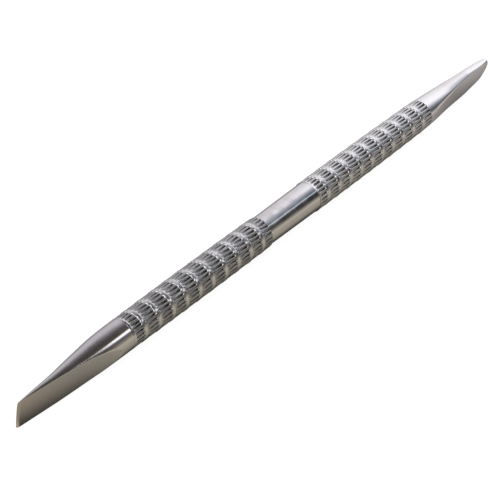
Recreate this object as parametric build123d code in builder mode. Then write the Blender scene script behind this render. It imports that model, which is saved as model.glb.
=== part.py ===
from build123d import *
import math
import os

# Double-ended cuticle pusher, millimetres.
# The origin is on the long axis at the middle of the plain waist.
# +X runs along the tool to the rounded blade, the ground faces look towards -Y, +Z is up.

os.makedirs("parts", exist_ok=True)

# Grip pattern: bands of short lengthwise grooves with plain rings between them
ring_pitch = 3.29                # from one band to the next
band_count = 11                  # on each grip
groove_length = 2.40
first_band_near = 7.69           # middle of the band nearest the waist, on the straight blade's side
first_band_far = 7.63            # the same on the rounded blade's side
grooves_around = 24
groove_width = 0.44
groove_depth = 0.30
groove_phase = -1.5              # degrees from the ground faces' side to the first groove

# Waist and grips
waist_half = 6.75                # half the length of the plain waist
waist_radius_near = 2.67
waist_radius_far = 2.79
grip_end = 41.70
grip_radius_inner = 2.91         # at the waist
grip_radius_crown = 2.95         # fullest, a third of the way along
grip_radius_outer = 2.79         # at the blade
grip_edge = 0.10                 # broken edge at both ends of a sleeve

# Joints between the pieces, all pressed together
spigot_radius = 2.20             # core turned down under a sleeve
tang_radius = 1.50               # blade's tang in the end of the core
tang_length = 11.5
socket_depth = 12.0
socket_cone = 0.85               # drill point at the bottom of a socket

# Straight blade, on the -X end
straight_tip = -65.45            # lower corner of the edge
edge_slant = 0.42                # how much further back its upper corner lies
half_edge = 2.45
bevel_slope = 0.32
straight_shank_radius = 2.77
straight_shank_end = -43.2       # plain round up to here
straight_flat_start = -44.2      # where the ground face runs out
straight_corner = 0.20           # rounded corners of the straight edge

# Rounded blade, on the +X end
rounded_tip = 64.2
rounded_shank_radius = 2.72

section_points = 28
cut_depth = 6.0                  # reach of the cutters past the axis


def blade_section(centre_y, half_depth, half_width, squareness):
    """Outline across a blade: an ellipse that grows squarer towards the tip."""
    points = []
    for step in range(section_points):
        angle = 2 * math.pi * step / section_points
        depth = abs(math.cos(angle)) ** (2 / squareness)
        width = abs(math.sin(angle)) ** (2 / squareness)
        y = centre_y + math.copysign(half_depth * depth, math.cos(angle))
        z = math.copysign(half_width * width, math.sin(angle))
        points.append((y, z))
    return points


# Core: the plain waist between two spigots, with a blind socket in each end
with BuildPart() as core_rod:
    with BuildSketch(Plane.XY):
        with BuildLine():
            Polyline(
                (-grip_end, 0),
                (-grip_end, spigot_radius),
                (-waist_half, spigot_radius),
                (-waist_half, waist_radius_near),
                (waist_half, waist_radius_far),
                (waist_half, spigot_radius),
                (grip_end, spigot_radius),
                (grip_end, 0),
                close=True,
            )
        make_face()
    revolve(axis=Axis.X)
    for side in (-1, 1):
        with BuildSketch(Plane.XY):
            with BuildLine():
                Polyline(
                    (side * grip_end, 0),
                    (side * grip_end, tang_radius),
                    (side * (grip_end - socket_depth), tang_radius),
                    (side * (grip_end - socket_depth - socket_cone), 0),
                    close=True,
                )
            make_face()
        revolve(axis=Axis.X, mode=Mode.SUBTRACT)

# Grips: slim barrels with bands of pockets all round
def grip_sleeve(side, first_band):
    """A sleeve on the -X side (side -1) or the +X side (side 1) of the waist."""
    with BuildPart() as sleeve:
        with BuildSketch(Plane.XY):
            with BuildLine():
                Polyline(
                    (side * waist_half, spigot_radius),
                    (side * waist_half, grip_radius_inner - grip_edge),
                    (side * (waist_half + grip_edge), grip_radius_inner),
                    (side * (waist_half + (grip_end - waist_half) / 3), grip_radius_crown),
                    (side * (grip_end - grip_edge), grip_radius_outer),
                    (side * grip_end, grip_radius_outer - grip_edge),
                    (side * grip_end, spigot_radius),
                    close=True,
                )
            make_face()
        revolve(axis=Axis.X)
        band_middles = [
            (side * (first_band + band * ring_pitch), 0) for band in range(band_count)
        ]
        for groove in range(grooves_around):
            angle = math.radians(groove_phase + groove * 360 / grooves_around)
            outward = (0, -math.cos(angle), math.sin(angle))
            middle_plane = Plane(origin=(0, 0, 0), x_dir=(1, 0, 0), z_dir=outward)
            with BuildSketch(middle_plane.offset(grip_radius_crown - groove_depth)):
                with Locations(*band_middles):
                    Rectangle(groove_length, groove_width)
        extrude(amount=2 * groove_depth, mode=Mode.SUBTRACT)
    return sleeve.part


# Straight blade: round shank, then a wedge that ends in a straight bevelled edge
with BuildPart() as straight_blade:
    with BuildSketch(Plane.YZ.offset(straight_shank_end)):
        Circle(straight_shank_radius)
    straight_sections = [
        (straight_tip + 19.0, blade_section(-0.05, 2.66, 2.73, 2.05)),
        (straight_tip + 13.8, blade_section(-0.26, 2.20, 2.64, 2.15)),
        (straight_tip + 6.9, blade_section(-0.53, 1.33, 2.56, 2.4)),
        (straight_tip + 3.5, blade_section(-0.49, 0.82, 2.50, 2.7)),
        (straight_tip, blade_section(-0.50, 0.20, 2.47, 3.2)),
    ]
    for section_x, outline in straight_sections:
        with BuildSketch(Plane.YZ.offset(section_x)):
            with BuildLine():
                Spline(*outline, periodic=True)
            make_face()
    loft()
    # Ground face, very slightly hollow, with a blunt run-out at the shank
    with BuildSketch(Plane.XY):
        with BuildLine():
            Line((straight_tip - 1, -0.42), (straight_tip, -0.50))
            ThreePointArc(
                (straight_tip, -0.50),
                (straight_tip + 10.1, -1.34),
                (straight_tip + 19.6, -2.48),
            )
            Polyline(
                (straight_tip + 19.6, -2.48),
                (straight_flat_start, -straight_shank_radius - 0.02),
                (straight_flat_start, -cut_depth),
                (straight_tip - 1, -cut_depth),
                (straight_tip - 1, -0.42),
            )
        make_face()
    extrude(amount=cut_depth, both=True, mode=Mode.SUBTRACT)
    # Bevel along the edge, which is a little slanted
    bevel_plane = Plane(
        origin=(straight_tip + edge_slant / 2, 0, 0),
        x_dir=(2 * half_edge, 0, -edge_slant),
        z_dir=(edge_slant, 0, 2 * half_edge),
    )
    with BuildSketch(bevel_plane):
        with BuildLine():
            Polyline(
                (-1.0, -0.38 + bevel_slope),
                (0.6, -0.38 - 0.6 * bevel_slope),
                (0.6, -cut_depth),
                (-1.0, -cut_depth),
                close=True,
            )
        make_face()
    extrude(amount=cut_depth, both=True, mode=Mode.SUBTRACT)
    # Outline seen from the ground side: a straight end with rounded corners
    with BuildSketch(Plane.XZ):
        with BuildLine():
            FilletPolyline(
                (straight_shank_end, cut_depth),
                (straight_tip + 12, half_edge + 0.75),
                (straight_tip + edge_slant, half_edge),
                (straight_tip, -half_edge),
                (straight_tip + 12, -half_edge - 0.75),
                (straight_shank_end, -cut_depth),
                (straight_shank_end, cut_depth),
                radius=straight_corner,
            )
        make_face()
    extrude(amount=cut_depth, both=True, mode=Mode.INTERSECT)
    # Shank and tang
    with BuildSketch(Plane.YZ.offset(straight_shank_end)):
        Circle(straight_shank_radius)
    extrude(amount=-grip_end - straight_shank_end)
    with BuildSketch(Plane.YZ.offset(-grip_end)):
        Circle(tang_radius)
    extrude(amount=tang_length)

# Rounded blade: tapered shank with a hollow-ground face and a slanted round end
with BuildPart() as rounded_blade:
    with BuildSketch(Plane.YZ.offset(grip_end)):
        Circle(rounded_shank_radius)
    rounded_sections = [
        (rounded_tip - 20.9, blade_section(0, 2.66, 2.66, 2)),
        (rounded_tip - 18.0, blade_section(0, 2.52, 2.52, 2)),
        (rounded_tip - 14.0, blade_section(0, 2.30, 2.30, 2)),
        (rounded_tip - 7.8, blade_section(-0.10, 1.63, 2.32, 2.2)),
        (rounded_tip - 3.3, blade_section(-0.10, 1.40, 2.08, 2.4)),
        (rounded_tip, blade_section(-0.10, 0.85, 1.85, 2.6)),
    ]
    for section_x, outline in rounded_sections:
        with BuildSketch(Plane.YZ.offset(section_x)):
            with BuildLine():
                Spline(*outline, periodic=True)
            make_face()
    loft()
    with BuildSketch(Plane.XY):
        with BuildLine():
            Line((grip_end, -2.80), (43.0, -2.66))
            ThreePointArc((43.0, -2.66), (rounded_tip - 7.9, -1.08), (rounded_tip, -0.78))
            Polyline(
                (rounded_tip, -0.78),
                (rounded_tip + 1, -0.78),
                (rounded_tip + 1, -cut_depth),
                (grip_end, -cut_depth),
                (grip_end, -2.80),
            )
        make_face()
    extrude(amount=cut_depth, both=True, mode=Mode.SUBTRACT)
    # Outline seen from the ground side: one sharp upper corner, the rest swept round
    with BuildSketch(Plane.XZ):
        with BuildLine():
            ThreePointArc(
                (rounded_tip, 1.70),
                (rounded_tip - 1.2, -0.45),
                (rounded_tip - 3.7, -2.05),
            )
            Polyline(
                (rounded_tip - 3.7, -2.05),
                (grip_end, -cut_depth),
                (grip_end, cut_depth),
                (rounded_tip, cut_depth),
                (rounded_tip, 1.70),
            )
        make_face()
    extrude(amount=cut_depth, both=True, mode=Mode.INTERSECT)
    with BuildSketch(Plane.YZ.offset(grip_end)):
        Circle(tang_radius)
    extrude(amount=-tang_length)

pieces = {
    "core_rod": core_rod.part,
    "grip_sleeve_near": grip_sleeve(-1, first_band_near),
    "grip_sleeve_far": grip_sleeve(1, first_band_far),
    "straight_blade": straight_blade.part,
    "rounded_blade": rounded_blade.part,
}
for piece_name, piece in pieces.items():
    piece.label = piece_name
    export_step(piece, f"parts/{piece_name}.step")
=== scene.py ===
import math

import bmesh
import bpy
import numpy as np
from mathutils import Matrix, Vector


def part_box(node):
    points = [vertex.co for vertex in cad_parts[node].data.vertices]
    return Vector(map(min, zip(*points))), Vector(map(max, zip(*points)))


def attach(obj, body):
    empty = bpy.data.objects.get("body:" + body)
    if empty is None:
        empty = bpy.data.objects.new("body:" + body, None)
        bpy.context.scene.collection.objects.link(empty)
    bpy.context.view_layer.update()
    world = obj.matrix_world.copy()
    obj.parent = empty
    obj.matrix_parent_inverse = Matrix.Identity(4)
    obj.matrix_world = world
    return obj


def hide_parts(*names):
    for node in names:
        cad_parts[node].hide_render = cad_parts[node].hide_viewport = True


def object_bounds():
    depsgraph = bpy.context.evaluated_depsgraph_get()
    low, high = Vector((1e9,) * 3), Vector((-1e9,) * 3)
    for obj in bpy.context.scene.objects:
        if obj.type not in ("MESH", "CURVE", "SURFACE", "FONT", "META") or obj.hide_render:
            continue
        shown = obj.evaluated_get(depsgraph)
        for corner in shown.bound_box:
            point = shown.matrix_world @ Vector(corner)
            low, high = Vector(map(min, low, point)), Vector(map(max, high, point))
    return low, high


# A double-ended cuticle pusher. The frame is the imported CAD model, in metres: +X runs along the
# tool to the rounded blade, both ground faces look towards -Y and +Z is up. Sizes below are in
# millimetres, and MM turns them into metres.

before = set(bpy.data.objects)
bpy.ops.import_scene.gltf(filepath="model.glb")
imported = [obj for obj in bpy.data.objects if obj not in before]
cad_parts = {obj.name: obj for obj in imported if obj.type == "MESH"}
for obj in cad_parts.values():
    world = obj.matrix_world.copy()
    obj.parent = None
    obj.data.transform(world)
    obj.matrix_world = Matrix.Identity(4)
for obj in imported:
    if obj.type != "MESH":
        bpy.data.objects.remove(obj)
cad_low, cad_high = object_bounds()

MM = 0.001

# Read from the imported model
GRIP_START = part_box("grip_sleeve_far")[0][0] / MM
GRIP_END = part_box("grip_sleeve_far")[1][0] / MM
STRAIGHT_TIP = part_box("straight_blade")[0][0] / MM     # lower corner of the straight edge
ROUNDED_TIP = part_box("rounded_blade")[1][0] / MM
UNDERSIDE = cad_low[2] / MM

# The grips: bands of short lengthwise grooves with plain rings between them
BAND_PITCH = 3.29
BAND_COUNT = 11
NEAR_BAND_END = -6.32              # +X end of the band next to the waist, on the near grip
FAR_BAND_END = 8.88                # the same on the far grip
GROOVE_LENGTH = 2.68
GROOVE_WIDTH = 0.42
GROOVE_DEPTH = 0.34
GROOVES_AROUND = 24
GROOVE_TURN = 2 * math.pi / GROOVES_AROUND
GROOVE_PHASE = math.radians(-1.5)
GROOVE_RADIUS = 2.9                # where a groove's width is measured
GROOVE_LEAD = 0.05                 # how far it may start before its band does
GROOVE_LEVEL = 0.45                # length of its +X end that has the full depth
GROOVE_START_SHARE = 0.26          # share of the full depth that it starts with
GROOVE_POWER = 1.1                 # how the depth grows from there
GROOVE_END_ARC = 0.16              # how far its +X wall is rounded, seen from outside
RIDGE_DROP = 0.045                 # how far the ridges between grooves lie under the plain rings
RIDGE_ROUNDING = 0.035             # how much further their sides fall away
BARREL_RADIUS = 2.947              # fullest radius of a grip's plain rings
BARREL_CROWN = 18.4                # where along X, either side of the waist
BARREL_BEND = 0.00028              # how the radius falls off from there, per millimetre
SLEEVE_WALL = 0.1                  # least thickness of a sleeve
SLEEVE_EDGE = 0.03                 # broken edge at the ends of a sleeve or a shank
WELD_DISTANCE = 1e-7               # in metres

# The core and the shanks
SPIGOT_RADIUS = 2.20
WAIST_RADIUS_NEAR = 2.67
WAIST_RADIUS_FAR = 2.79
STRAIGHT_SHANK_RADIUS = 2.77
ROUNDED_SHANK_RADIUS = 2.72
TANG_RADIUS = 1.50
TANG_LENGTH = 11.5
TANG_CHAMFER = 0.3                 # length of the taper at a tang's end
TANG_NOSE = 0.82                   # share of its radius that is left there
SOCKET_DEPTH = 12.0

# The straight blade's edge
EDGE_SLANT = 0.42                  # how much further back its upper corner lies
HALF_EDGE = 2.45
SLANT_REACH = 9.0                  # how far from the edge the slant still shows
EDGE_ROUNDING = 0.12
BEVEL_Y = -0.38                    # the bevel at the upper corner
BEVEL_SLOPE = 0.32
NOSE_DEPTH, NOSE_WIDTH = 0.45, 0.985    # shares of the edge's size that its flat nose keeps

# The rounded blade's end
SWEEP_REACH = 3.7                  # how far back the lower side of the end lies
SWEEP_POWER = 2.2
SWEEP_LOW, SWEEP_HIGH = -2.05, 1.70
END_SLIDE = 11.0                   # length over which the blade is slid back to make that end
END_ROUNDING = 0.25
END_INSET = 0.2                    # how far the rounding goes in at the very end

# Points in one ring of a blade
BODY_POINTS = 73
FACE_POINTS = 41
CORNER_POINTS = 9


# ---------------------------------------------------------------- mesh helpers

def smooth_step(low, high, value):
    """0 below low, 1 above high, with a soft passage between them."""
    t = np.clip((value - low) / (high - low), 0.0, 1.0)
    return t * t * (3 - 2 * t)


def blend_curve(x, stations, values):
    """A smooth curve through a few given values (monotone cubic)."""
    steps = np.diff(stations)
    slopes = np.diff(values) / steps
    tangents = np.zeros(len(values))
    tangents[0], tangents[-1] = slopes[0], slopes[-1]
    for i in range(1, len(values) - 1):
        if slopes[i - 1] * slopes[i] > 0:
            tangents[i] = 2 * slopes[i - 1] * slopes[i] / (slopes[i - 1] + slopes[i])
    i = int(np.clip(np.searchsorted(stations, x) - 1, 0, len(steps) - 1))
    t = np.clip((x - stations[i]) / steps[i], 0.0, 1.0)
    start = (1 + 2 * t) * (1 - t) ** 2 * values[i]
    start_slope = t * (1 - t) ** 2 * steps[i] * tangents[i]
    end = t * t * (3 - 2 * t) * values[i + 1]
    end_slope = t * t * (t - 1) * steps[i] * tangents[i + 1]
    return start + start_slope + end + end_slope


def ring_at(x, y, z):
    """Points round the tool at one place along it."""
    return np.column_stack([np.full(len(y), x), y, z])


def round_ring(x, radius, angles):
    """A round ring. Angle 0 is on the ground faces' side (-Y) and a quarter turn on is the top."""
    return ring_at(x, -radius * np.cos(angles), radius * np.sin(angles))


def tube_object(name, rings, capped=True):
    """A closed skin through rings of the same number of (x, y, z) points.

    It is capped at both ends, or else its last ring is its first one and the two are welded.
    """
    rings = np.asarray(rings)
    rows, columns, _ = rings.shape
    points = rings.reshape(-1, 3)
    turn = [(c, (c + 1) % columns) for c in range(columns)]
    faces = []
    for row in range(0, (rows - 1) * columns, columns):
        faces += [(row + c, row + n, row + columns + n, row + columns + c) for c, n in turn]
    if capped:
        first_hub, last_hub, last_row = len(points), len(points) + 1, (rows - 1) * columns
        points = np.vstack([points, rings[0].mean(axis=0), rings[-1].mean(axis=0)])
        faces += [(first_hub, n, c) for c, n in turn]
        faces += [(last_hub, last_row + c, last_row + n) for c, n in turn]
    mesh = bpy.data.meshes.new(name)
    mesh.from_pydata((points * MM).tolist(), [], faces)
    mesh.validate()
    work = bmesh.new()
    work.from_mesh(mesh)
    if not capped:
        bmesh.ops.remove_doubles(work, verts=work.verts, dist=WELD_DISTANCE)
    bmesh.ops.recalc_face_normals(work, faces=work.faces)
    work.to_mesh(mesh)
    work.free()
    piece = bpy.data.objects.new(name, mesh)
    bpy.context.collection.objects.link(piece)
    return piece


def shade(piece, sharp_degrees):
    """Smooth shading that keeps edges sharper than the given angle."""
    mesh = piece.data
    mesh.polygons.foreach_set("use_smooth", [True] * len(mesh.polygons))
    mesh.set_sharp_from_angle(angle=math.radians(sharp_degrees))
    mesh.update()


# ---------------------------------------------------------------- core

def core_object():
    """The plain waist, very slightly conical, between two spigots with a socket in each end."""
    socket_end = GRIP_END - SOCKET_DEPTH
    profile = [(-socket_end, TANG_RADIUS), (-GRIP_END, TANG_RADIUS), (-GRIP_END, SPIGOT_RADIUS),
               (-GRIP_START, SPIGOT_RADIUS)]
    for x in np.linspace(-GRIP_START, GRIP_START, 61):
        share = (x + GRIP_START) / (2 * GRIP_START)
        profile.append((x, WAIST_RADIUS_NEAR + (WAIST_RADIUS_FAR - WAIST_RADIUS_NEAR) * share))
    profile += [(GRIP_START, SPIGOT_RADIUS), (GRIP_END, SPIGOT_RADIUS), (GRIP_END, TANG_RADIUS),
                (socket_end, TANG_RADIUS)]
    angles = np.linspace(0, 2 * math.pi, 192, endpoint=False)
    return tube_object("waist_and_core", [round_ring(x, radius, angles) for x, radius in profile])


# ---------------------------------------------------------------- grips

def barrel_radius(x):
    """Radius of a grip's plain rings: a slim barrel."""
    return BARREL_RADIUS - BARREL_BEND * (abs(x) - BARREL_CROWN) ** 2


def grip_stations(side, low, high):
    """(x, band, distance from the band's -X end) along a grip, close together where grooves end."""
    offsets = [
        -0.04, 0.0, 0.04, 0.09, 0.16, 0.27, 0.38, 0.50, 0.64, 0.80, 1.00, 1.22, 1.45, 1.68, 1.88,
        2.06, 2.20, 2.31, 2.39, 2.45, 2.50, 2.55, 2.60, 2.65, 2.71, 2.79, 2.89, 3.00, 3.11, 3.20,
    ]
    first_end = FAR_BAND_END if side > 0 else NEAR_BAND_END
    ends = [first_end + side * BAND_PITCH * band for band in range(BAND_COUNT)]
    stations = []
    for band, end in enumerate(ends):
        for offset in offsets:
            x = end - GROOVE_LENGTH + offset
            if low + SLEEVE_EDGE < x < high - SLEEVE_EDGE:
                stations.append((x, band, offset))
    for x in (low, low + 0.02, high - 0.02, high):
        nearest = int(np.argmin([abs(end - GROOVE_LENGTH / 2 - x) for end in ends]))
        stations.append((x, nearest, x - ends[nearest] + GROOVE_LENGTH))
    return sorted(stations)


def grip_angles():
    """Angles round a grip, close together at the walls of the grooves."""
    parts = np.array([-0.5, -0.42, -0.35, -0.28, -0.20, -0.10, 0.0, 0.10, 0.20, 0.28, 0.35, 0.42])
    grooves = np.arange(GROOVES_AROUND)[:, None]
    return (GROOVE_PHASE + GROOVE_TURN * (grooves + parts)).ravel()


def groove_cut(offset, angle, band, draw):
    """How deep a ring of points lies under the barrel, offset past a band's -X end."""
    turn = np.round((angle - GROOVE_PHASE) / GROOVE_TURN)
    own = {key: values[band][turn.astype(int) % GROOVES_AROUND] for key, values in draw.items()}
    across = (angle - GROOVE_PHASE - GROOVE_TURN * turn) * GROOVE_RADIUS - own["slide"]
    across = across - own["lean"] * (offset - GROOVE_LENGTH / 2)
    beside = np.abs(across) / (GROOVE_WIDTH * own["width"] / 2)
    trough = 1 - smooth_step(0.18, 1.10, beside)
    # a groove deepens towards +X, where it ends in a steep rounded wall
    start = own["start"] - GROOVE_LEAD
    share = np.clip((offset - start) / (GROOVE_LENGTH - GROOVE_LEVEL - start), 0.0, 1.0)
    growth = GROOVE_START_SHARE + (1 - GROOVE_START_SHARE) * share ** GROOVE_POWER
    wedge = smooth_step(0.0, 0.20, share) * growth
    arc = GROOVE_END_ARC * np.minimum(beside, 1.1) ** 2
    finish = GROOVE_LENGTH + 0.02 + own["finish"] - arc
    wall = 1 - smooth_step(finish - 0.11, finish + 0.03, offset)
    # the ridges between the grooves sit a little lower than the plain rings, with rounded crests
    band_end = smooth_step(GROOVE_LENGTH - 0.22, GROOVE_LENGTH + 0.05, offset)
    in_band = smooth_step(-0.05, 0.06, offset) * (1 - band_end)
    ridge = in_band * (RIDGE_DROP + RIDGE_ROUNDING * smooth_step(0.9, 2.0, 2.6 - beside))
    return GROOVE_DEPTH * own["depth"] * trough * wedge * wall + ridge * (1 - trough)


def grip_object(name, side, seed, wear):
    """One knurled sleeve: side -1 lies towards the straight blade, 1 towards the rounded one."""
    random = np.random.default_rng(seed)
    shape = (BAND_COUNT, GROOVES_AROUND)
    draw = {
        "width": random.uniform(0.88 - 0.10 * wear, 1.10, shape),
        "depth": random.uniform(0.88 - 0.16 * wear, 1.06, shape),
        "slide": random.normal(0.0, 0.022 + 0.030 * wear, shape),
        "lean": random.normal(0.0, 0.020 + 0.030 * wear, shape),
        "start": random.uniform(-0.05, 0.16 + 0.25 * wear, shape),
        "finish": random.uniform(-0.06 - 0.10 * wear, 0.04, shape),
    }
    dent_depth = 0.010 * wear
    dent_points = 6                    # neighbouring points that share one dent
    angles = grip_angles()
    low, high = (GRIP_START, GRIP_END) if side > 0 else (-GRIP_END, -GRIP_START)
    # the first band starts a little way in from the sleeve's edge
    plain_end = 0.25 if side < 0 else 0.0
    # the near sleeve's outer end comes down flush with the straight blade's shank
    flush = barrel_radius(low) - STRAIGHT_SHANK_RADIUS if side < 0 else 0.0
    edges = (high,) if side < 0 else (low, high)
    rings = []
    for x, band, offset in grip_stations(side, low, high):
        cut = groove_cut(offset, angles, band, draw)
        cut = cut * smooth_step(0.10, 0.45, x - low - plain_end)
        dents = random.normal(0.0, dent_depth, len(angles) // dent_points).repeat(dent_points)
        edge = flush * (1 - smooth_step(0.0, 0.5, x - low)) + (SLEEVE_EDGE if x in edges else 0.0)
        radius = barrel_radius(x) - cut - edge - np.abs(dents)
        rings.append(round_ring(x, np.maximum(radius, SPIGOT_RADIUS + SLEEVE_WALL), angles))
    bore_low, bore_high = (round_ring(x, SPIGOT_RADIUS, angles) for x in (low, high))
    return tube_object(name, [bore_low] + rings + [bore_high, bore_low], capped=False)


# ---------------------------------------------------------------- blades
# "away" is how far back from a blade's end a ring lies, before the ends are slanted or swept.

def superellipse(angle, centre_y, depth, width, squareness):
    """Points across a blade: angle 0 is the back (+Y), a quarter turn on is the top (+Z)."""
    power = 2 / squareness
    y = centre_y + depth * np.sign(np.cos(angle)) * np.abs(np.cos(angle)) ** power
    z = width * np.sign(np.sin(angle)) * np.abs(np.sin(angle)) ** power
    return y, z


def blade_ring(x, section, face_y, edge):
    """One ring of a blade: the body's outline with the ground face cut off at face_y.

    edge is the size of the rounded corners beside the face.
    """
    centre_y, depth, width, squareness = section
    reach = np.clip((centre_y - face_y) / depth, -0.98, 1.0)
    corner = math.acos(-np.sign(reach) * abs(reach) ** (squareness / 2))
    corner = min(corner, math.pi - 0.16)
    corner_y, corner_z = superellipse(corner, centre_y, depth, width, squareness)
    # the body, from the lower corner round the back to the upper corner
    body_angles = (corner - edge / width) * np.linspace(-1, 1, BODY_POINTS)
    body_y, body_z = superellipse(body_angles, centre_y, depth, width, squareness)
    # the face, from the upper corner to the lower one, fading into the body where it runs out
    face_reach = corner_z - min(edge, 0.3 * corner_z)
    face_z = np.linspace(face_reach, -face_reach, FACE_POINTS)
    outline_reach = np.clip(np.abs(face_z) / width, 0, 0.999) ** squareness
    outline_y = centre_y - depth * (1 - outline_reach) ** (1 / squareness)
    behind = outline_y - face_y
    face_line = face_y + 0.5 * (behind + np.sqrt(behind ** 2 + (0.4 * edge) ** 2))
    # rounded corners: curves from the body to the face
    if centre_y - depth >= face_y:
        corner_y = outline_y[0]
    corner_point = np.array([corner_y, corner_z])
    body_end = np.array([body_y[-1], body_z[-1]])
    face_start = np.array([face_line[0], face_z[0]])
    t = np.linspace(0, 1, CORNER_POINTS + 2)[1:-1, None]
    upper = (1 - t) ** 2 * body_end + 2 * t * (1 - t) * corner_point + t * t * face_start
    lower = upper[::-1] * np.array([1, -1])
    y = np.concatenate([body_y, upper[:, 0], face_line, lower[:, 0]])
    z = np.concatenate([body_z, upper[:, 1], face_z, lower[:, 1]])
    return ring_at(x, y, z)


def tang_rings(around, x_from, x_to):
    """Rings of a tang, from the shank's end to the tang's own, chamfered end."""
    y, z = TANG_RADIUS * np.cos(around), TANG_RADIUS * np.sin(around)
    chamfer_start = x_to - np.sign(x_to - x_from) * TANG_CHAMFER
    return [ring_at(x_from, y, z), ring_at(chamfer_start, y, z),
            ring_at(x_to, TANG_NOSE * y, TANG_NOSE * z)]


def straight_section(away):
    """Centre, half depth, half width and squareness of the straight blade's body."""
    at = [0.0, 3.1, 6.5, 13.4, 18.6, 21.85]
    centre = blend_curve(away, at, [-0.50, -0.49, -0.53, -0.26, -0.05, 0.0])
    depth = blend_curve(away, at, [0.20, 0.82, 1.33, 2.20, 2.66, STRAIGHT_SHANK_RADIUS])
    width = blend_curve(away, at, [2.47, 2.50, 2.56, 2.64, 2.73, STRAIGHT_SHANK_RADIUS])
    square = blend_curve(away, at, [3.2, 2.7, 2.4, 2.15, 2.05, 2.0])
    if away < EDGE_ROUNDING:
        width -= EDGE_ROUNDING - math.sqrt(EDGE_ROUNDING ** 2 - (EDGE_ROUNDING - away) ** 2)
    return centre, depth, width, square


def straight_face(away):
    """Y of the straight blade's ground face: a bevel at the edge, a long hollow, a run-out."""
    at = [0.0, 5.0, 10.0, 14.5, 17.6, 19.2, 20.2, 21.4]
    hollow = blend_curve(away, at, [-0.50, -0.93, -1.37, -1.79, -2.24, -2.52, -2.74, -3.3])
    return max(hollow, BEVEL_Y - BEVEL_SLOPE * away)


def straight_blade_object():
    stations = [0.0, 0.02, 0.05, 0.09, 0.14, 0.24, 0.34, 0.42, 0.46, 0.50, 0.54, 0.58, 0.64, 0.75]
    stations += [*np.linspace(0.95, 17.0, 50), *np.linspace(17.2, 21.7, 60)]
    rings = []
    for away in stations:
        x = STRAIGHT_TIP + EDGE_SLANT + away
        edge = 0.05 + 0.08 * smooth_step(0, 8, away) + 0.25 * smooth_step(16.5, 20.0, away)
        ring = blade_ring(x, straight_section(away), straight_face(away), edge)
        # the edge is slanted: its lower corner reaches further out
        lower = np.clip(0.5 - 0.5 * ring[:, 2] / HALF_EDGE, 0.0, 1.0)
        ring[:, 0] -= (1 - smooth_step(0.0, SLANT_REACH, away)) * EDGE_SLANT * lower
        rings.append(ring)
    around = np.arctan2(rings[-1][:, 2], rings[-1][:, 1])
    # a flat nose closes the edge
    middle = rings[0].mean(axis=0)
    rings.insert(0, middle + (rings[0] - middle) * np.array([1, NOSE_DEPTH, NOSE_WIDTH]))
    shank_end = -GRIP_END
    shank = [(STRAIGHT_TIP + 22.6, 0.0), (STRAIGHT_TIP + 23.2, 0.0), (shank_end - SLEEVE_EDGE, 0.0),
             (shank_end, SLEEVE_EDGE)]
    for x, drop in shank:
        radius = STRAIGHT_SHANK_RADIUS - drop
        rings.append(ring_at(x, radius * np.cos(around), radius * np.sin(around)))
    rings += tang_rings(around, shank_end, shank_end + TANG_LENGTH)
    return tube_object("straight_end", rings)


def rounded_section(away):
    """Centre, half depth, half width and squareness of the rounded blade's body."""
    at = [0.0, 3.3, 7.8, 14.0, 22.5]
    centre = blend_curve(away, at, [-0.10, -0.10, -0.10, 0.0, 0.0])
    depth = blend_curve(away, at, [0.85, 1.40, 1.63, 2.30, ROUNDED_SHANK_RADIUS])
    width = blend_curve(away, at, [1.85, 2.08, 2.32, 2.32, ROUNDED_SHANK_RADIUS])
    square = blend_curve(away, at, [2.6, 2.4, 2.2, 2.0, 2.0])
    inset = 0.0
    if away <= 0.05:
        inset = END_INSET
    elif away < 0.3:
        inset = END_ROUNDING - math.sqrt(END_ROUNDING ** 2 - (0.3 - away) ** 2)
    return centre, depth - inset, width - 0.6 * inset, square


def rounded_face(away):
    """Y of the rounded blade's hollow-ground face."""
    at = [0.0, 3.5, 7.9, 11.1, 15.4, 18.9, 21.2, 22.5]
    return blend_curve(away, at, [-0.78, -0.86, -1.09, -1.32, -1.78, -2.29, -2.66, -2.86])


def rounded_blade_object():
    stations = [*np.linspace(22.5, 13.0, 80), *np.linspace(12.8, 0.25, 60), 0.12, 0.05, 0.0]
    rings = []
    for away in stations:
        edge = 0.05 + 0.05 * smooth_step(5, 12, away) + 0.55 * smooth_step(9.0, 20.0, away)
        ring = blade_ring(ROUNDED_TIP - away, rounded_section(away), rounded_face(away), edge)
        # slide the last stretch back along X, more towards the lower side
        low_down = 1 - np.clip((ring[:, 2] - SWEEP_LOW) / (SWEEP_HIGH - SWEEP_LOW), 0.0, 1.0)
        slide = smooth_step(0.0, 1.0, 1 - min(away / END_SLIDE, 1.0))
        ring[:, 0] -= slide * SWEEP_REACH * low_down ** SWEEP_POWER
        rings.append(ring)
    _, y, z = rings[0].T
    shank_end = [ring_at(GRIP_END, 0.985 * y, 0.985 * z)]
    rings[0] = ring_at(GRIP_END + SLEEVE_EDGE, y, z)
    tang = tang_rings(np.arctan2(z, y), GRIP_END, GRIP_END - TANG_LENGTH)
    return tube_object("rounded_end", tang[::-1] + shank_end + rings)


# ---------------------------------------------------------------- materials

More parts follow.
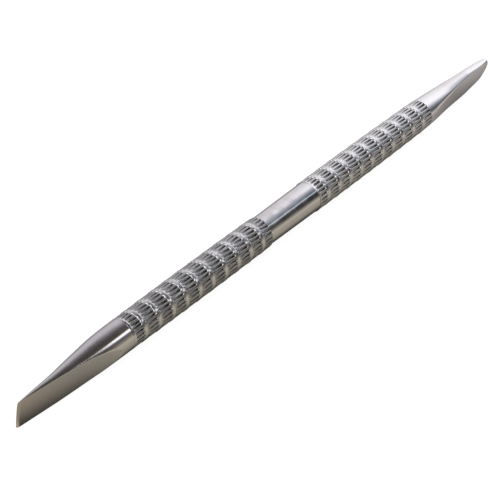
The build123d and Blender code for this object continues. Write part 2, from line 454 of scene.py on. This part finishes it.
class Nodes:
    """A short way to write the node tree of a material or of the world."""

    def __init__(self, owner):
        self.owner = owner
        owner.use_nodes = True
        self.tree = owner.node_tree
        self.tree.nodes.clear()

    def add(self, kind, **settings):
        node = self.tree.nodes.new(kind)
        for key, value in settings.items():
            setattr(node, key, value)
        return node

    def link(self, start, end):
        self.tree.links.new(start, end)

    def coordinates(self, scale):
        """Object coordinates in millimetres, stretched by scale."""
        source = self.add("ShaderNodeTexCoord")
        mapping = self.add("ShaderNodeMapping")
        mapping.inputs["Scale"].default_value = [s / MM for s in scale]
        self.link(source.outputs["Object"], mapping.inputs["Vector"])
        return mapping.outputs["Vector"]

    def separate(self, vector):
        node = self.add("ShaderNodeSeparateXYZ")
        self.link(vector, node.inputs["Vector"])
        return node.outputs

    def noise(self, vector, scale, detail, roughness=0.6):
        node = self.add("ShaderNodeTexNoise")
        node.inputs["Scale"].default_value = scale
        node.inputs["Detail"].default_value = detail
        node.inputs["Roughness"].default_value = roughness
        self.link(vector, node.inputs["Vector"])
        return node.outputs["Fac"]

    def math(self, kind, *values):
        """A Math node whose inputs are numbers or links."""
        node = self.add("ShaderNodeMath", operation=kind)
        for socket, value in zip(node.inputs, values):
            if isinstance(value, (int, float)):
                socket.default_value = value
            else:
                self.link(value, socket)
        return node.outputs[0]

    def span(self, value, from_low, from_high, to_low=0.0, to_high=1.0):
        """Maps one range of numbers to another, and clamps to its ends."""
        node = self.add("ShaderNodeMapRange")
        node.inputs["From Min"].default_value = from_low
        node.inputs["From Max"].default_value = from_high
        node.inputs["To Min"].default_value = to_low
        node.inputs["To Max"].default_value = to_high
        self.link(value, node.inputs["Value"])
        return node.outputs["Result"]

    def spread(self, noise, low, high):
        """Maps the range that a noise mostly keeps to, 0.3 to 0.7, to another."""
        return self.span(noise, 0.3, 0.7, low, high)

    def ramp(self, factor, stops):
        """A colour ramp from (place, (r, g, b)) stops."""
        node = self.add("ShaderNodeValToRGB")
        elements = node.color_ramp.elements
        elements.remove(elements[-1])
        elements[0].position = stops[0][0]
        elements[0].color = (*stops[0][1], 1)
        for place, colour in stops[1:]:
            elements.new(place).color = (*colour, 1)
        self.link(factor, node.inputs["Fac"])
        return node.outputs["Color"]

    def mix(self, share, first, second, kind="RGBA"):
        """first where share is 0, second where it is 1."""
        node = self.add("ShaderNodeMix", data_type=kind)
        a, b, result = {"FLOAT": (2, 3, 0), "RGBA": (6, 7, 2)}[kind]
        self.link(share, node.inputs[0])
        self.link(first, node.inputs[a])
        self.link(second, node.inputs[b])
        return node.outputs[result]

    def zones(self, place, along, first_stops, later_zones):
        """Ramps read at place, each taking over from the one before between two values of along."""
        colour = self.ramp(place, first_stops)
        for low, high, stops in later_zones:
            colour = self.mix(self.span(along, low, high), colour, self.ramp(place, stops))
        return colour

    def bump(self, height, strength, distance, normal=None):
        """Strength is a number or a link, and distance is in millimetres."""
        node = self.add("ShaderNodeBump")
        node.inputs["Distance"].default_value = distance * MM
        self.link(height, node.inputs["Height"])
        if isinstance(strength, float):
            node.inputs["Strength"].default_value = strength
        else:
            self.link(strength, node.inputs["Strength"])
        if normal is not None:
            self.link(normal, node.inputs["Normal"])
        return node.outputs["Normal"]

    def surface(self, shader, kind="ShaderNodeOutputMaterial"):
        """Puts the shader on the material or the world, and gives that back."""
        self.link(shader, self.add(kind).inputs["Surface"])
        return self.owner

    def metal(self, colour, roughness, normal):
        shader = self.add("ShaderNodeBsdfPrincipled")
        shader.inputs["Metallic"].default_value = 1.0
        self.link(colour, shader.inputs["Base Color"])
        self.link(roughness, shader.inputs["Roughness"])
        self.link(normal, shader.inputs["Normal"])
        return self.surface(shader.outputs["BSDF"])


def material_nodes(name):
    return Nodes(bpy.data.materials.new(name))


def polished_steel():
    """Polished stainless: faint turning lines round the rod and soft haze."""
    m = material_nodes("polished_stainless")
    fine = m.noise(m.coordinates((1, 1, 1)), scale=1.4, detail=6)
    lines = m.noise(m.coordinates((9, 0.35, 0.35)), scale=1.0, detail=5, roughness=0.7)
    wave = m.noise(m.coordinates((0.22, 0.40, 0.40)), scale=1.0, detail=1)
    colour = m.ramp(fine, [(0.3, (0.66, 0.65, 0.65)), (0.7, (0.72, 0.71, 0.71))])
    roughness = m.spread(fine, 0.04, 0.09)
    waved = m.bump(wave, strength=0.20, distance=0.25)
    normal = m.bump(lines, strength=0.08, distance=0.02, normal=waved)
    return m.metal(colour, roughness, normal)


def blade_steel(name, satin):
    """Polished stainless whose ground face, turned to -Y, is satin with fine lines across it.

    satin is the roughness of that face.
    """
    m = material_nodes(name)
    fine = m.noise(m.coordinates((1, 1, 1)), scale=1.4, detail=6)
    along = m.noise(m.coordinates((0.25, 5, 5)), scale=1.0, detail=6, roughness=0.7)
    across = m.noise(m.coordinates((7, 0.3, 0.3)), scale=1.0, detail=6, roughness=0.7)
    colour = m.ramp(fine, [(0.3, (0.66, 0.65, 0.64)), (0.7, (0.71, 0.70, 0.69))])
    direction = m.separate(m.add("ShaderNodeNewGeometry").outputs["True Normal"])
    ground = m.span(direction["Y"], -0.95, -0.985)
    body = m.spread(fine, 0.05, 0.12)
    face = m.spread(along, satin - 0.05, satin + 0.05)
    scratched = m.bump(across, strength=0.05, distance=0.02)
    normal = m.bump(along, strength=0.05, distance=0.02, normal=scratched)
    return m.metal(colour, m.mix(ground, body, face, "FLOAT"), normal)


def grip_steel(name, painted_light):
    """Stamped stainless: rings polished by handling, duller ridges, grainy grooves, with painted
    shade that darkens the stamped parts the deeper they lie.

    shine brightens the stamped parts as painted light, so that the two grips are lit and shaded
    copies of this material.
    """
    m = material_nodes(name)
    fine = m.noise(m.coordinates((1, 1, 1)), scale=2.6, detail=6, roughness=0.65)
    blotch = m.noise(m.coordinates((0.5, 1, 1)), scale=0.8, detail=3)
    # depth under the barrel, in metres, as the grips' shape has it
    position = m.separate(m.add("ShaderNodeNewGeometry").outputs["Position"])
    x, y, z = position["X"], position["Y"], position["Z"]
    radius = m.math("SQRT", m.math("ADD", m.math("MULTIPLY", y, y), m.math("MULTIPLY", z, z)))
    from_crown = m.math("SUBTRACT", m.math("ABSOLUTE", x), BARREL_CROWN * MM)
    fall = m.math("MULTIPLY", m.math("MULTIPLY", from_crown, from_crown), BARREL_BEND / MM)
    depth = m.math("SUBTRACT", BARREL_RADIUS * MM, m.math("ADD", radius, fall))
    # 0 on the plain rings, 1 at the bottom of a groove
    down = m.math("ADD", m.span(depth, 0.0, 0.30 * MM), m.spread(blotch, -0.05, 0.05))
    # painted shade: the colour darkens from the plain rings down to the bottom of the grooves,
    # where shade falls, scaled by the grip's painted light level
    ridge, slope, trough, bottom = 0.515 * painted_light, 0.395 * painted_light, 0.215 * painted_light, 0.082 * painted_light
    colour = m.ramp(down, [
        (0.00, (0.72, 0.71, 0.71)), (0.07, (0.70, 0.69, 0.69)),
        (0.15, (ridge, ridge, 0.99 * ridge)), (0.34, (slope, slope, 0.98 * slope)),
        (0.60, (trough, trough, 0.97 * trough)), (1.00, (bottom, 0.98 * bottom, 0.94 * bottom)),
    ])
    roughness = m.math("ADD", m.span(down, 0.05, 0.5, 0.15, 0.42), m.spread(fine, -0.04, 0.06))
    # the stamped parts are grainy and the rings are not
    grain = m.span(down, 0.08, 0.25, 0.04, 0.28)
    normal = m.bump(fine, strength=grain, distance=0.05)
    return m.metal(colour, roughness, normal)


# ---------------------------------------------------------------- stage

def flat_sheet(name, reach, z, material):
    """A level square sheet centred under the tool. reach is half its side, in metres, and z is in
    millimetres."""
    corners = [(x * reach, y * reach, z * MM) for x, y in ((-1, -1), (1, -1), (1, 1), (-1, 1))]
    mesh = bpy.data.meshes.new(name)
    mesh.from_pydata(corners, [], [(0, 1, 2, 3)])
    mesh.materials.append(material)
    sheet = bpy.data.objects.new(name, mesh)
    bpy.context.collection.objects.link(sheet)
    return sheet


def floor_object():
    """Pale floor under the tool, lit so softly that it is almost even. The steel doesn't see it."""
    m = material_nodes("pale_floor")
    diffuse = m.add("ShaderNodeBsdfDiffuse")
    diffuse.inputs["Color"].default_value = (0.12, 0.12, 0.12, 1)
    glow = m.add("ShaderNodeEmission")
    glow.inputs["Color"].default_value = (1, 1, 1, 1)
    glow.inputs["Strength"].default_value = 0.95
    both = m.add("ShaderNodeAddShader")
    m.link(diffuse.outputs[0], both.inputs[0])
    m.link(glow.outputs[0], both.inputs[1])
    floor = flat_sheet("floor", 12.0, UNDERSIDE, m.surface(both.outputs[0]))
    floor.visible_glossy = False
    floor.visible_diffuse = False


# The colours of a glowing sheet that stands in for the table top in the steel's reflections: a
# painted reflection with the tool's painted shadow on it. A ramp runs from 30 mm in front of the
# tool's axis (0) past the axis (0.75) to 10 mm behind it (1), and is darkest in that painted
# shadow, where the tool shades the table.
OPEN_TABLE = [
    (0.00, (0.55, 0.45, 0.36)), (0.73, (0.50, 0.41, 0.33)), (0.82, (0.03, 0.03, 0.03)),
    (0.92, (0.16, 0.15, 0.16)), (1.00, (0.40, 0.38, 0.40)),
]
AT_TIP = [
    (0.00, (0.539, 0.474, 0.391)), (0.55, (0.428, 0.363, 0.293)), (0.63, (0.372, 0.307, 0.242)),
    (0.665, (0.251, 0.219, 0.181)), (0.69, (0.14, 0.126, 0.107)), (0.72, (0.056, 0.051, 0.042)),
    (0.82, (0.028, 0.028, 0.028)), (0.92, (0.149, 0.14, 0.149)), (1.00, (0.372, 0.353, 0.372)),
]
UNDER_STRAIGHT_BLADE = [
    (0.00, (0.475, 0.44, 0.37)), (0.40, (0.405, 0.37, 0.312)), (0.58, (0.352, 0.326, 0.277)),
    (0.64, (0.273, 0.251, 0.211)), (0.675, (0.15, 0.136, 0.114)), (0.71, (0.048, 0.044, 0.037)),
    (0.82, (0.026, 0.026, 0.026)), (0.92, (0.141, 0.132, 0.141)), (1.00, (0.352, 0.334, 0.352)),
]
UNDER_GRIPS = [
    (0.00, (0.54, 0.50, 0.42)), (0.40, (0.48, 0.44, 0.375)), (0.58, (0.42, 0.385, 0.325)),
    (0.635, (0.30, 0.275, 0.23)), (0.665, (0.13, 0.12, 0.10)), (0.70, (0.03, 0.028, 0.024)),
    (0.82, (0.02, 0.02, 0.02)), (0.92, (0.16, 0.15, 0.16)), (1.00, (0.40, 0.38, 0.40)),
]
UNDER_ROUNDED_BLADE = [
    (0.00, (0.54, 0.50, 0.48)), (0.40, (0.50, 0.46, 0.44)), (0.58, (0.46, 0.42, 0.41)),
    (0.65, (0.37, 0.34, 0.33)), (0.69, (0.25, 0.23, 0.225)), (0.73, (0.14, 0.13, 0.125)),
    (0.82, (0.04, 0.04, 0.045)), (0.92, (0.20, 0.19, 0.21)), (1.00, (0.50, 0.48, 0.52)),
]
FAR_END = [
    (0.00, (0.70, 0.66, 0.64)), (0.58, (0.62, 0.58, 0.57)), (0.65, (0.52, 0.48, 0.47)),
    (0.69, (0.38, 0.35, 0.345)), (0.73, (0.24, 0.225, 0.22)), (0.80, (0.30, 0.29, 0.30)),
    (0.90, (0.62, 0.60, 0.63)), (1.00, (0.80, 0.78, 0.82)),
]


def painted_reflection_sheet():
    """A glowing sheet that the steel mirrors as a table top: a painted reflection, beige at the
    straight blade's end and greyer beyond the far grip, with the tool's painted shadow on it. The
    camera sees the pale floor instead."""
    m = material_nodes("painted_table_reflection")
    place = m.separate(m.add("ShaderNodeTexCoord").outputs["Object"])
    across = m.span(place["Y"], -30 * MM, 10 * MM)
    # painted shadow: each zone paints the tool's shade on the sheet, and beyond the far end the
    # sheet is painted lighter
    colour = m.zones(across, place["X"], OPEN_TABLE, [
        ((STRAIGHT_TIP + 0.4) * MM, (STRAIGHT_TIP + 1.1) * MM, AT_TIP),
        (-62 * MM, -52 * MM, UNDER_STRAIGHT_BLADE),
        (-45 * MM, -41 * MM, UNDER_GRIPS),
        (39 * MM, 45 * MM, UNDER_ROUNDED_BLADE),
        (56 * MM, 63 * MM, FAR_END),
    ])
    # the sheet glows in these painted colours; it is no lamp, and only the steel's reflections show
    # it
    glow = m.add("ShaderNodeEmission")
    m.link(colour, glow.inputs["Color"])
    table = flat_sheet("painted_table_sheet", 3.0, UNDERSIDE - 0.01, m.surface(glow.outputs[0]))
    table.visible_camera = False
    table.visible_diffuse = False
    table.visible_shadow = False


# The skies that the steel sees. Each runs, in degrees, from the horizon on the ground faces' side
# (0) over the top (90) to the horizon behind (180).
WINDOW_SKY = [
    (0, (0.22, 0.20, 0.18)), (18, (0.18, 0.17, 0.16)), (42, (0.30, 0.30, 0.32)),
    (58, (1.20, 1.20, 1.24)), (74, (2.20, 2.20, 2.25)), (100, (2.30, 2.30, 2.40)),
    (135, (1.40, 1.38, 1.45)), (180, (0.70, 0.68, 0.70)),
]
BLADE_BACK_SKY = [
    (0, (0.40, 0.37, 0.32)), (12, (0.16, 0.14, 0.12)), (30, (0.08, 0.07, 0.065)),
    (103, (0.07, 0.066, 0.062)), (119, (0.15, 0.14, 0.15)), (134, (0.48, 0.46, 0.50)),
    (152, (0.68, 0.65, 0.70)), (180, (0.60, 0.58, 0.62)),
]
SHANK_SKY = [
    (0, (0.48, 0.45, 0.39)), (10, (0.38, 0.35, 0.30)), (21, (0.20, 0.18, 0.16)),
    (33, (0.15, 0.145, 0.15)), (40, (0.40, 0.42, 0.52)), (45, (1.70, 1.75, 1.95)),
    (53, (2.40, 2.35, 2.30)), (58, (0.60, 0.53, 0.44)), (64, (0.09, 0.08, 0.075)),
    (85, (0.08, 0.075, 0.07)), (97, (0.13, 0.12, 0.13)), (112, (0.32, 0.31, 0.35)),
    (130, (0.62, 0.60, 0.66)), (150, (0.73, 0.70, 0.76)), (180, (0.60, 0.58, 0.62)),
]
WAIST_START_SKY = [
    (0, (0.42, 0.39, 0.33)), (9, (0.36, 0.33, 0.28)), (20, (0.15, 0.14, 0.13)),
    (31, (0.08, 0.08, 0.08)), (41, (0.10, 0.10, 0.11)), (49, (0.26, 0.28, 0.31)),
    (54, (0.86, 0.94, 1.04)), (59, (0.34, 0.35, 0.40)), (72, (0.41, 0.43, 0.50)),
    (88, (0.56, 0.56, 0.64)), (106, (0.76, 0.74, 0.78)), (125, (0.86, 0.83, 0.87)),
    (150, (0.79, 0.76, 0.79)), (180, (0.68, 0.66, 0.69)),
]
WAIST_END_SKY = [
    (0, (0.41, 0.375, 0.32)), (9, (0.35, 0.32, 0.27)), (19, (0.09, 0.08, 0.07)),
    (31, (0.035, 0.035, 0.04)), (42, (0.05, 0.05, 0.06)), (50, (0.12, 0.14, 0.17)),
    (54, (0.86, 0.98, 1.10)), (59, (0.13, 0.145, 0.18)), (70, (0.22, 0.24, 0.30)),
    (80, (0.42, 0.44, 0.52)), (91, (0.80, 0.80, 0.90)), (104, (1.22, 1.20, 1.28)),
    (125, (1.12, 1.09, 1.15)), (150, (0.92, 0.90, 0.94)), (180, (0.82, 0.80, 0.84)),
]
FAR_SKY = [
    (0, (0.45, 0.41, 0.40)), (8, (0.36, 0.33, 0.33)), (17, (0.15, 0.145, 0.16)),
    (28, (0.13, 0.13, 0.16)), (37, (0.24, 0.25, 0.30)), (46, (0.37, 0.39, 0.48)),
    (55, (0.56, 0.58, 0.69)), (64, (0.90, 0.92, 1.04)), (75, (1.28, 1.27, 1.37)),
    (90, (1.45, 1.43, 1.51)), (115, (1.38, 1.36, 1.45)), (145, (1.20, 1.17, 1.24)),
    (180, (1.02, 1.00, 1.04)),
]
BEYOND_SKY = [(0, (0.20, 0.18, 0.16)), (60, (0.22, 0.21, 0.21)), (180, (0.34, 0.33, 0.34))]


def studio_world():
    """Soft studio surroundings: the skies follow one another along X, and the camera itself sees
    a white backdrop."""

    def as_shares(stops):
        return [(angle / 180, colour) for angle, colour in stops]

    world = bpy.data.worlds.new("studio")
    bpy.context.scene.world = world
    w = Nodes(world)
    direction = w.separate(w.add("ShaderNodeTexCoord").outputs["Generated"])
    turn = w.math("ARCTAN2", direction["Z"], w.math("MULTIPLY", direction["Y"], -1))
    # low and high are how far the direction leans towards +X, from 0 to 1
    later_skies = [
        (0.05, 0.28, BLADE_BACK_SKY), (0.535, 0.565, SHANK_SKY), (0.59, 0.636, WAIST_START_SKY),
        (0.646, 0.661, WAIST_END_SKY), (0.72, 0.79, FAR_SKY), (0.955, 0.985, BEYOND_SKY),
    ]
    colour = w.zones(w.span(turn, 0.0, math.pi), direction["X"], as_shares(WINDOW_SKY),
                     [(low, high, as_shares(stops)) for low, high, stops in later_skies])
    surroundings = w.add("ShaderNodeBackground")
    w.link(colour, surroundings.inputs["Color"])
    backdrop = w.add("ShaderNodeBackground")
    backdrop.inputs["Color"].default_value = (1, 1, 1, 1)
    choice = w.add("ShaderNodeMixShader")
    w.link(w.add("ShaderNodeLightPath").outputs["Is Camera Ray"], choice.inputs[0])
    w.link(surroundings.outputs[0], choice.inputs[1])
    w.link(backdrop.outputs[0], choice.inputs[2])
    w.surface(choice.outputs[0], "ShaderNodeOutputWorld")


def camera_object():
    """The camera, as the tool is seen: a long lens, from the straight blade's side and above."""
    distance = 295.8                   # millimetres along the view to the middle of the waist
    beside, above = 5.80, 6.00         # how far right of and above the view's axis the waist lies
    back = Vector((-0.643, -0.447, 0.6223)).normalized()
    right = Vector((0.6137, -0.7864, 0.0688))
    right = (right - right.dot(back) * back).normalized()
    up = back.cross(right)
    place = back * distance - right * beside - up * above
    data = bpy.data.cameras.new("camera")
    data.lens = 125.6
    data.sensor_width = 36
    data.clip_start = 0.01
    data.clip_end = 50
    camera = bpy.data.objects.new("camera", data)
    bpy.context.collection.objects.link(camera)
    turn = Matrix((right, up, back)).transposed()
    camera.matrix_world = Matrix.Translation(place * MM) @ turn.to_4x4()
    bpy.context.scene.camera = camera


# ---------------------------------------------------------------- put together

def add_piece(piece, node, material, sharp_degrees):
    """Gives a piece its look, hides the CAD node that it stands for and hangs it on the root body.
    """
    piece.data.materials.append(material)
    shade(piece, sharp_degrees)
    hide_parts(node)
    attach(piece, "root")


core = core_object()
near_grip = grip_object("near_grip", side=-1, seed=11, wear=0.6)
far_grip = grip_object("far_grip", side=1, seed=23, wear=0.1)
straight_end = straight_blade_object()
rounded_end = rounded_blade_object()

near_steel = grip_steel("stamped_stainless_near", painted_light=0.92)
far_steel = grip_steel("stamped_stainless_far", painted_light=1.2)
straight_steel = blade_steel("straight_blade_stainless", satin=0.26)
rounded_steel = blade_steel("rounded_blade_stainless", satin=0.22)

add_piece(core, "core_rod", polished_steel(), 35)
add_piece(near_grip, "grip_sleeve_near", near_steel, 70)
add_piece(far_grip, "grip_sleeve_far", far_steel, 70)
add_piece(straight_end, "straight_blade", straight_steel, 14)
add_piece(rounded_end, "rounded_blade", rounded_steel, 30)

floor_object()
painted_reflection_sheet()
studio_world()
camera_object()
bpy.context.scene.view_settings.view_transform = "Standard"
